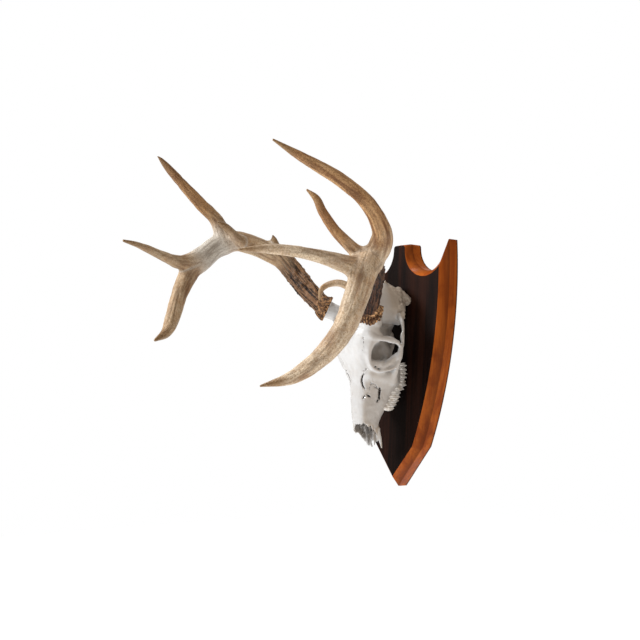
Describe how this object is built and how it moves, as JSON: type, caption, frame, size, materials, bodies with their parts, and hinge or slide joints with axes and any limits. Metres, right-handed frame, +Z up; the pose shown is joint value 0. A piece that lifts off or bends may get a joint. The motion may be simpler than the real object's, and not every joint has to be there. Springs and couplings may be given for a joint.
{
  "type": "deer skull wall mount",
  "caption": "Deer skull with branched antlers hung nose down on a dark arrowhead-shaped wooden wall board.",
  "frame": {"origin": "centre of the board's back face, halfway up its height, where it meets the wall", "axes": "+Z up the board, +Y into the wall behind it, +X to the right for someone facing the mount"},
  "size_m": [0.4153, 0.4334, 0.4854],
  "materials": {
    "walnut": "satin lacquer, dark stained face with orange-brown edges",
    "bone": "bleached bone, semi-gloss",
    "antler": "weathered antler, matte with polished tips"
  },
  "bodies": {
    "root": {"plaque": "walnut", "skull": "bone", "antler_left": "antler", "antler_right": "antler"}
  },
  "joints": []
}
